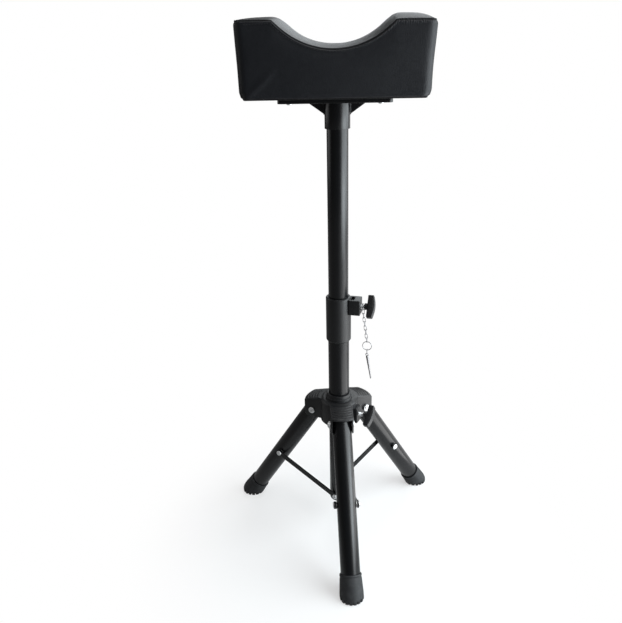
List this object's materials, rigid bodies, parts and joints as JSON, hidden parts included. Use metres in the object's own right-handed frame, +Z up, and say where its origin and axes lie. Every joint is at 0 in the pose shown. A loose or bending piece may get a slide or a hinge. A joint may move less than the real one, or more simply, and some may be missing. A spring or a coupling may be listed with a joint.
{
  "type": "leg rest stand",
  "caption": "Height-adjustable leg rest: saddle-shaped padded cushion on a telescoping steel column with a clamp knob, chained pin and folding tripod base.",
  "frame": {"origin": "on the floor under the middle of the whole object's box", "axes": "+Z up along the column, -Y along the front leg, +X to the side of the clamp knob"},
  "size_m": [0.4022, 0.354, 0.9386],
  "materials": {
    "leatherette": "black soft leatherette with a fine grain",
    "foam": "open-cell upholstery foam",
    "plywood": "raw plywood",
    "powder_coat": "satin black powder coat",
    "moulding": "black moulded plastic, fine matte",
    "boot_rubber": "dark grey matte rubber",
    "zinc": "bright zinc plate",
    "bright_steel": "polished steel wire"
  },
  "bodies": {
    "column": {"lower_tube": "powder_coat", "clamp_sleeve": "moulding", "clamp_nut": "zinc", "clamp_pad": "moulding", "spreader_plug": "moulding", "strut_base_bolt_front": "zinc", "strut_base_bolt_right": "zinc", "strut_base_bolt_left": "zinc"},
    "mast": {"upper_tube": "powder_coat", "mast_end_plug": "moulding"},
    "head": {"head_bracket": "powder_coat", "base_board": "plywood", "foam_core": "foam", "cushion_cover": "leatherette", "cushion_screw_1": "zinc", "cushion_screw_2": "zinc", "cushion_screw_3": "zinc", "cushion_screw_4": "zinc"},
    "clamp": {"clamp_screw": "zinc", "clamp_knob": "moulding"},
    "chain": {"tether_loop": "bright_steel", "chain_link_1": "bright_steel", "chain_link_2": "bright_steel", "chain_link_3": "bright_steel", "chain_link_4": "bright_steel", "chain_link_5": "bright_steel", "chain_link_6": "bright_steel", "chain_link_7": "bright_steel", "chain_link_8": "bright_steel"},
    "pin": {"pin_ring": "bright_steel", "pin_link": "bright_steel", "locking_pin": "bright_steel"},
    "hub_body": {"hub": "moulding", "hub_nut": "zinc", "leg_pivot_bolt_front": "zinc", "leg_pivot_bolt_right": "zinc", "leg_pivot_bolt_left": "zinc", "leg_pivot_nut_front": "zinc", "leg_pivot_nut_right": "zinc", "leg_pivot_nut_left": "zinc"},
    "hub_lock": {"hub_lock_screw": "zinc", "hub_lock_knob": "moulding"},
    "front_leg": {"leg_tube_front": "powder_coat", "leg_foot_front": "boot_rubber", "leg_cross_bolt_front": "zinc", "leg_cross_nut_front": "moulding"},
    "right_leg": {"leg_tube_right": "powder_coat", "leg_foot_right": "boot_rubber", "leg_cross_bolt_right": "zinc", "leg_cross_nut_right": "moulding"},
    "left_leg": {"leg_tube_left": "powder_coat", "leg_foot_left": "boot_rubber", "leg_cross_bolt_left": "zinc", "leg_cross_nut_left": "moulding"},
    "front_strut": {"strut_front": "powder_coat", "strut_bolt_front": "zinc"},
    "right_strut": {"strut_right": "powder_coat", "strut_bolt_right": "zinc"},
    "left_strut": {"strut_left": "powder_coat", "strut_bolt_left": "zinc"}
  },
  "joints": [
    {"name": "mast_slide", "type": "slide", "parent": "column", "child": "mast", "axis": [0, 0, 1], "range_m": [-0.26, 0.06]},
    {"name": "head_swivel", "type": "hinge", "parent": "mast", "child": "head", "pos_m": [0, 0.05184, 0.795], "axis": [0, 0, 1], "continuous": true},
    {"name": "clamp_turn", "type": "hinge", "parent": "column", "child": "clamp", "pos_m": [0, 0.05184, 0.47225], "axis": [0.9511, -0.309, 0], "range_deg": [0, 540]},
    {"name": "chain_swing", "type": "hinge", "parent": "column", "child": "chain", "pos_m": [0.04161, 0.03832, 0.47225], "axis": [0.9511, -0.309, 0], "range_deg": [-60, 60]},
    {"name": "pin_swing", "type": "hinge", "parent": "chain", "child": "pin", "pos_m": [0.05141, 0.04668, 0.39884], "axis": [0.9511, -0.309, 0], "range_deg": [-60, 60]},
    {"name": "hub_slide", "type": "slide", "parent": "column", "child": "hub_body", "axis": [0, 0, 1], "range_m": [0, 0.0879]},
    {"name": "hub_lock_turn", "type": "hinge", "parent": "hub_body", "child": "hub_lock", "pos_m": [0, 0.05184, 0.257], "axis": [0.866, -0.5, 0], "range_deg": [0, 540]},
    {"name": "front_leg_fold", "type": "hinge", "parent": "hub_body", "child": "front_leg", "pos_m": [0, 0.00384, 0.254], "axis": [1, 0, 0], "range_deg": [0, 32.3]},
    {"name": "right_leg_fold", "type": "hinge", "parent": "hub_body", "child": "right_leg", "pos_m": [0.04157, 0.07584, 0.254], "axis": [-0.5, 0.866, 0], "range_deg": [0, 32.3]},
    {"name": "left_leg_fold", "type": "hinge", "parent": "hub_body", "child": "left_leg", "pos_m": [-0.04157, 0.07584, 0.254], "axis": [-0.5, -0.866, 0], "range_deg": [0, 32.3]},
    {"name": "front_strut_fold", "type": "hinge", "parent": "column", "child": "front_strut", "pos_m": [0, 0.05184, 0.066], "axis": [1, 0, 0], "range_deg": [-41.81, 0]},
    {"name": "right_strut_fold", "type": "hinge", "parent": "column", "child": "right_strut", "pos_m": [0, 0.05184, 0.066], "axis": [-0.5, 0.866, 0], "range_deg": [-41.81, 0]},
    {"name": "left_strut_fold", "type": "hinge", "parent": "column", "child": "left_strut", "pos_m": [0, 0.05184, 0.066], "axis": [-0.5, -0.866, 0], "range_deg": [-41.81, 0]}
  ],
  "couplings": [
    {"joint": "front_leg_fold", "follows": "hub_slide", "rad_per_m": 6.413},
    {"joint": "right_leg_fold", "follows": "hub_slide", "rad_per_m": 6.413},
    {"joint": "left_leg_fold", "follows": "hub_slide", "rad_per_m": 6.413},
    {"joint": "front_strut_fold", "follows": "hub_slide", "rad_per_m": -8.299},
    {"joint": "right_strut_fold", "follows": "hub_slide", "rad_per_m": -8.299},
    {"joint": "left_strut_fold", "follows": "hub_slide", "rad_per_m": -8.299}
  ]
}
